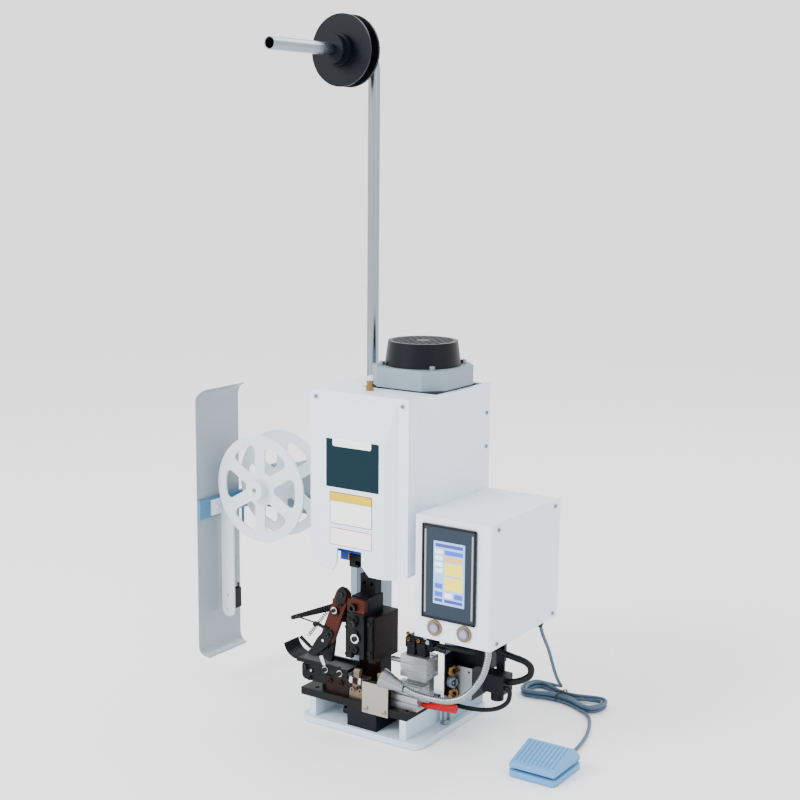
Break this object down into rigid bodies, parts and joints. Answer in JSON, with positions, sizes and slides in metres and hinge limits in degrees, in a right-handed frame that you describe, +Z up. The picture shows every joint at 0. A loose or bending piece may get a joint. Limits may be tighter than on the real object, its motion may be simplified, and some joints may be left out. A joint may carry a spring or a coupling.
{
  "type": "terminal crimping machine",
  "caption": "Bench terminal crimping and stripping machine with a reel pole, paper winder, control box, air unit and a corded foot pedal.",
  "frame": {"origin": "middle of the base plate's underside", "axes": "+X to the machine's right, +Y to the back, +Z up"},
  "size_m": [0.6825, 0.4218, 1.085],
  "materials": {
    "housing_paint": "painted",
    "base_paint": "painted",
    "frame_paint": "painted",
    "blue_paint": "painted",
    "black_oxide": "satin",
    "brown_oxide": "satin",
    "bright_steel": "brushed",
    "zinc_steel": "satin",
    "bronze": "satin",
    "brass": "polished",
    "aluminium": "satin",
    "motor_grey": "painted",
    "black_plastic": "satin",
    "white_plastic": "satin",
    "grey_plastic": "satin",
    "green_plastic": "satin",
    "yellow_plastic": "satin",
    "red_rubber": "matte",
    "hose_plastic": "satin",
    "pedal_paint": "painted",
    "cord_rubber": "satin",
    "bar_paint": "painted",
    "board": "satin",
    "black_steel": "satin"
  },
  "bodies": {
    "frame": {"base_plate": "base_paint", "side_rails": "base_paint", "table_plate": "black_oxide", "side_plates": "frame_paint", "hold_down_studs": "zinc_steel", "motor_plate": "frame_paint", "head_casting": "blue_paint", "ram_guides": "blue_paint", "ram_gibs": "bronze", "drive_motor": "motor_grey", "fan_cover": "black_plastic", "main_cover": "housing_paint", "front_cover": "housing_paint", "cover_screws": "zinc_steel", "air_fitting": "brass", "control_box": "housing_paint", "box_side_cover": "housing_paint", "box_electronics": "board", "hmi_panel": "grey_plastic", "button_rings": "zinc_steel", "pole_clamps": "black_steel", "winder_bar": "bar_paint", "guard_panel": "housing_paint", "winder_motor": "motor_grey", "switch_bar": "zinc_steel", "micro_switch": "black_plastic", "applicator_body": "black_oxide", "feed_springs": "zinc_steel", "feed_track": "black_oxide", "drag_block": "brown_oxide", "anvil_block": "bronze", "front_guard": "bright_steel", "strip_cylinders": "aluminium", "valve_block": "black_plastic", "air_regulator": "black_plastic", "work_lamp": "aluminium", "air_hoses": "hose_plastic", "hose_sleeve": "red_rubber", "scrap_box": "black_steel", "pedal_base": "pedal_paint", "cord_lead": "cord_rubber", "cord_hank": "cord_rubber", "cord_tail": "cord_rubber"},
    "ram": {"ram_slide": "bright_steel", "ram_adaptor": "black_oxide", "applicator_ram": "brown_oxide", "crimper_holder": "black_oxide"},
    "crank": {"crankshaft": "bright_steel", "worm_wheel": "bronze"},
    "rotor": {"motor_rotor": "bright_steel"},
    "feed_arm": {"feed_lever": "brown_oxide", "feed_finger": "black_oxide"},
    "carriage": {"blade_carriage": "bright_steel"},
    "start": {"start_button": "green_plastic"},
    "reset": {"reset_button": "yellow_plastic"},
    "treadle": {"pedal_treadle": "pedal_paint"},
    "take_up": {"take_up_reel": "white_plastic"},
    "pole": {"reel_pole": "zinc_steel"},
    "disc": {"reel_disc": "black_plastic"},
    "paper_lever": {"switch_lever": "bright_steel"}
  },
  "joints": [
    {"name": "ram_stroke", "type": "slide", "parent": "frame", "child": "ram", "axis": [0, 0, -1], "range_m": [0, 0.03]},
    {"name": "rotor_turn", "type": "hinge", "parent": "frame", "child": "rotor", "pos_m": [0.029, 0.024, 0.45], "axis": [0, 0, 1], "continuous": true},
    {"name": "crank_turn", "type": "hinge", "parent": "frame", "child": "crank", "pos_m": [-0.01, 0.02, 0.325], "axis": [0, 1, 0], "continuous": true},
    {"name": "feed_swing", "type": "hinge", "parent": "frame", "child": "feed_arm", "pos_m": [-0.048, -0.092, 0.186], "axis": [0, 1, 0], "range_deg": [0, 11.5]},
    {"name": "strip_travel", "type": "slide", "parent": "frame", "child": "carriage", "axis": [1, 0, 0], "range_m": [0, 0.01]},
    {"name": "start_press", "type": "slide", "parent": "frame", "child": "start", "axis": [0, 1, 0], "range_m": [0, 0.003], "stiffness_N_per_m": 600},
    {"name": "reset_press", "type": "slide", "parent": "frame", "child": "reset", "axis": [0, 1, 0], "range_m": [0, 0.003], "stiffness_N_per_m": 600},
    {"name": "treadle_press", "type": "hinge", "parent": "frame", "child": "treadle", "pos_m": [0.298, -0.026, 0.015], "axis": [1, 0, 0], "range_deg": [0, 2.6], "stiffness_Nm_per_rad": 8, "springref_deg": -2.86},
    {"name": "take_up_turn", "type": "hinge", "parent": "frame", "child": "take_up", "pos_m": [-0.241, 0, 0.341], "axis": [0, 1, 0], "continuous": true},
    {"name": "pole_swivel", "type": "hinge", "parent": "frame", "child": "pole", "pos_m": [-0.101, 0.077, 0.4], "axis": [0, 0, 1], "range_deg": [-45, 45]},
    {"name": "disc_turn", "type": "hinge", "parent": "pole", "child": "disc", "pos_m": [-0.101, 0, 1.031], "axis": [0, 1, 0], "continuous": true},
    {"name": "paper_lever_tip", "type": "hinge", "parent": "frame", "child": "paper_lever", "pos_m": [-0.3145, -0.015, 0.1605], "axis": [0, 1, 0], "range_deg": [0, 8], "stiffness_Nm_per_rad": 0.02}
  ],
  "couplings": [
    {"joint": "feed_swing", "follows": "ram_stroke", "rad_per_m": 6.6667},
    {"joint": "crank_turn", "follows": "rotor_turn", "ratio": 0.033333}
  ]
}
